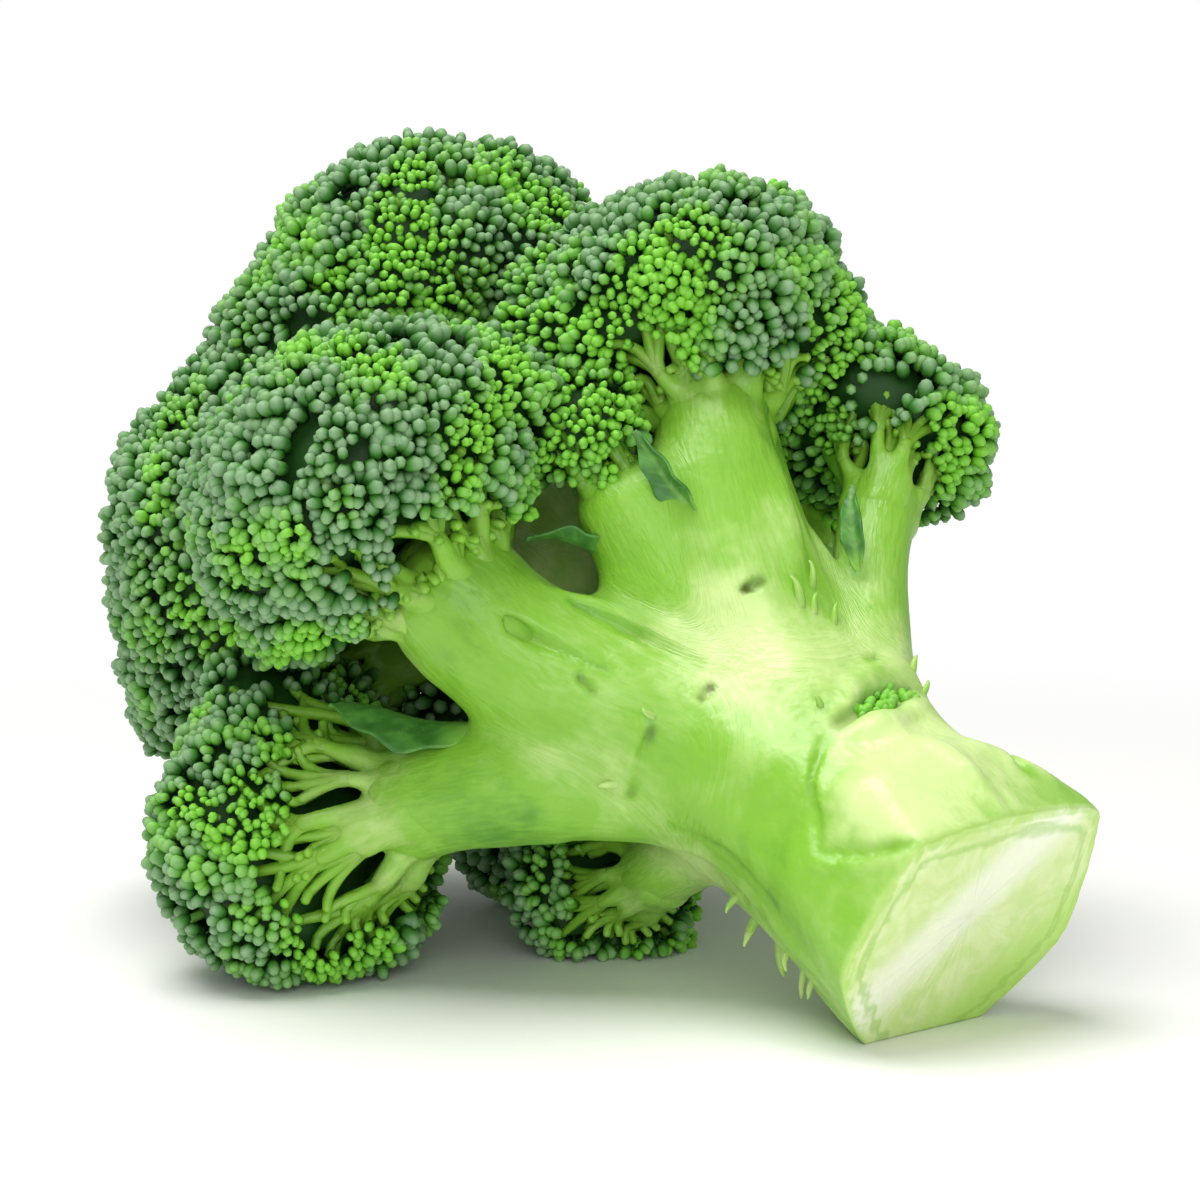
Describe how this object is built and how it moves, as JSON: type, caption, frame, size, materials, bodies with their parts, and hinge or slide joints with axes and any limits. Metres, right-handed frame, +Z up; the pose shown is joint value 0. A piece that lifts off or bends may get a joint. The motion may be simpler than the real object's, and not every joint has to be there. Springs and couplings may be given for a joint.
{
  "type": "broccoli head",
  "caption": "Fresh broccoli head lying on its side: a pale cut stalk that forks into branches, each with a rounded cluster of green flower buds.",
  "frame": {"origin": "middle of the bounding box at the plane that the head lies on", "axes": "+Z up from the plane that it lies on; the stalk's axis rises 24.7 degrees from the cut end and points 130.8 degrees round from +X towards +Y; the cut end and the most open side face -Y"},
  "size_m": [0.1678, 0.1716, 0.1423],
  "materials": {
    "stalk": "smooth waxy skin, pale yellow-green, satin",
    "buds": "tightly packed flower buds, dark to mid green with a grey waxy bloom, matte",
    "leaf": "small thin leaves, dark green, satin"
  },
  "bodies": {
    "root": {"stalk": "stalk", "branch_front": "stalk", "floret_front": "buds", "branch_upper": "stalk", "floret_upper": "buds", "branch_crest": "stalk", "floret_crest": "buds", "branch_left": "stalk", "floret_left": "buds", "branch_low_left": "stalk", "floret_low_left": "buds", "branch_low_middle": "stalk", "floret_low_middle": "buds", "branch_low_right": "stalk", "floret_low_right": "buds", "branch_inner_right": "stalk", "floret_inner_right": "buds", "branch_back": "stalk", "floret_back": "buds", "branch_low_back": "stalk", "floret_low_back": "buds", "branch_top_back": "stalk", "floret_top_back": "buds", "branch_top_low": "stalk", "floret_top_low": "buds", "branch_second": "stalk", "floret_second": "buds", "leaf_low": "leaf", "leaf_second": "leaf", "leaf_upper": "leaf", "leaf_right": "leaf"}
  },
  "joints": []
}
